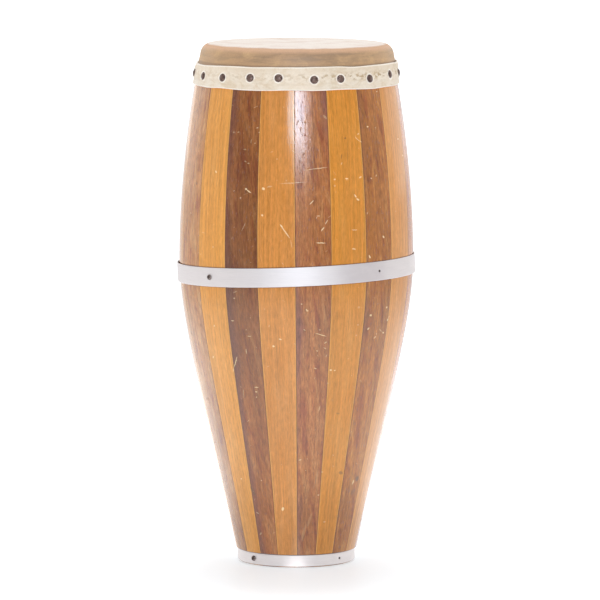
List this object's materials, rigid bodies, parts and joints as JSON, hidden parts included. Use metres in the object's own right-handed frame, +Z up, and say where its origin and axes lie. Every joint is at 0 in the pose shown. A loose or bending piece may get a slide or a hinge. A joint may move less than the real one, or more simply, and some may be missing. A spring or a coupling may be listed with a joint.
{
  "type": "hand drum",
  "caption": "Tall single-headed hand drum with a barrel shell of alternating dark and light wood staves, a tacked rawhide head, and aluminium hoops round the belly and the foot.",
  "frame": {"origin": "centre of the foot, on the floor", "axes": "+Z up along the drum's axis to the playing face; the pictured side faces -Y; +X is to its right"},
  "size_m": [0.3342, 0.3355, 0.73],
  "materials": {
    "dark_wood": "aged gloss varnish over dark reddish-brown wood",
    "light_wood": "aged gloss varnish over straight-grained golden wood",
    "head_rawhide": "dry rawhide, pale on top and tan on the side",
    "band_rawhide": "dry cream rawhide with brown stains",
    "tack_iron": "dark oxidised",
    "hoop_aluminium": "satin, lightly scratched",
    "screw_steel": "dark oxidised",
    "rivet_aluminium": "satin"
  },
  "bodies": {
    "root": {"stave_01": "dark_wood", "stave_02": "light_wood", "stave_03": "dark_wood", "stave_04": "light_wood", "stave_05": "dark_wood", "stave_06": "light_wood", "stave_07": "dark_wood", "stave_08": "light_wood", "stave_09": "dark_wood", "stave_10": "light_wood", "stave_11": "dark_wood", "stave_12": "light_wood", "stave_13": "dark_wood", "stave_14": "light_wood", "stave_15": "dark_wood", "stave_16": "light_wood", "stave_17": "dark_wood", "stave_18": "light_wood", "stave_19": "dark_wood", "stave_20": "light_wood", "head_skin": "head_rawhide", "head_band": "band_rawhide", "tack_01": "tack_iron", "tack_02": "tack_iron", "tack_03": "tack_iron", "tack_04": "tack_iron", "tack_05": "tack_iron", "tack_06": "tack_iron", "tack_07": "tack_iron", "tack_08": "tack_iron", "tack_09": "tack_iron", "tack_10": "tack_iron", "tack_11": "tack_iron", "tack_12": "tack_iron", "tack_13": "tack_iron", "tack_14": "tack_iron", "tack_15": "tack_iron", "tack_16": "tack_iron", "tack_17": "tack_iron", "tack_18": "tack_iron", "tack_19": "tack_iron", "tack_20": "tack_iron", "belly_hoop": "hoop_aluminium", "belly_rivet_1": "rivet_aluminium", "belly_rivet_2": "rivet_aluminium", "belly_screw_1": "screw_steel", "belly_screw_2": "screw_steel", "belly_screw_3": "screw_steel", "foot_hoop": "hoop_aluminium", "foot_rivet_1": "rivet_aluminium", "foot_rivet_2": "rivet_aluminium", "foot_screw_1": "screw_steel", "foot_screw_2": "screw_steel", "foot_screw_3": "screw_steel"}
  },
  "joints": []
}
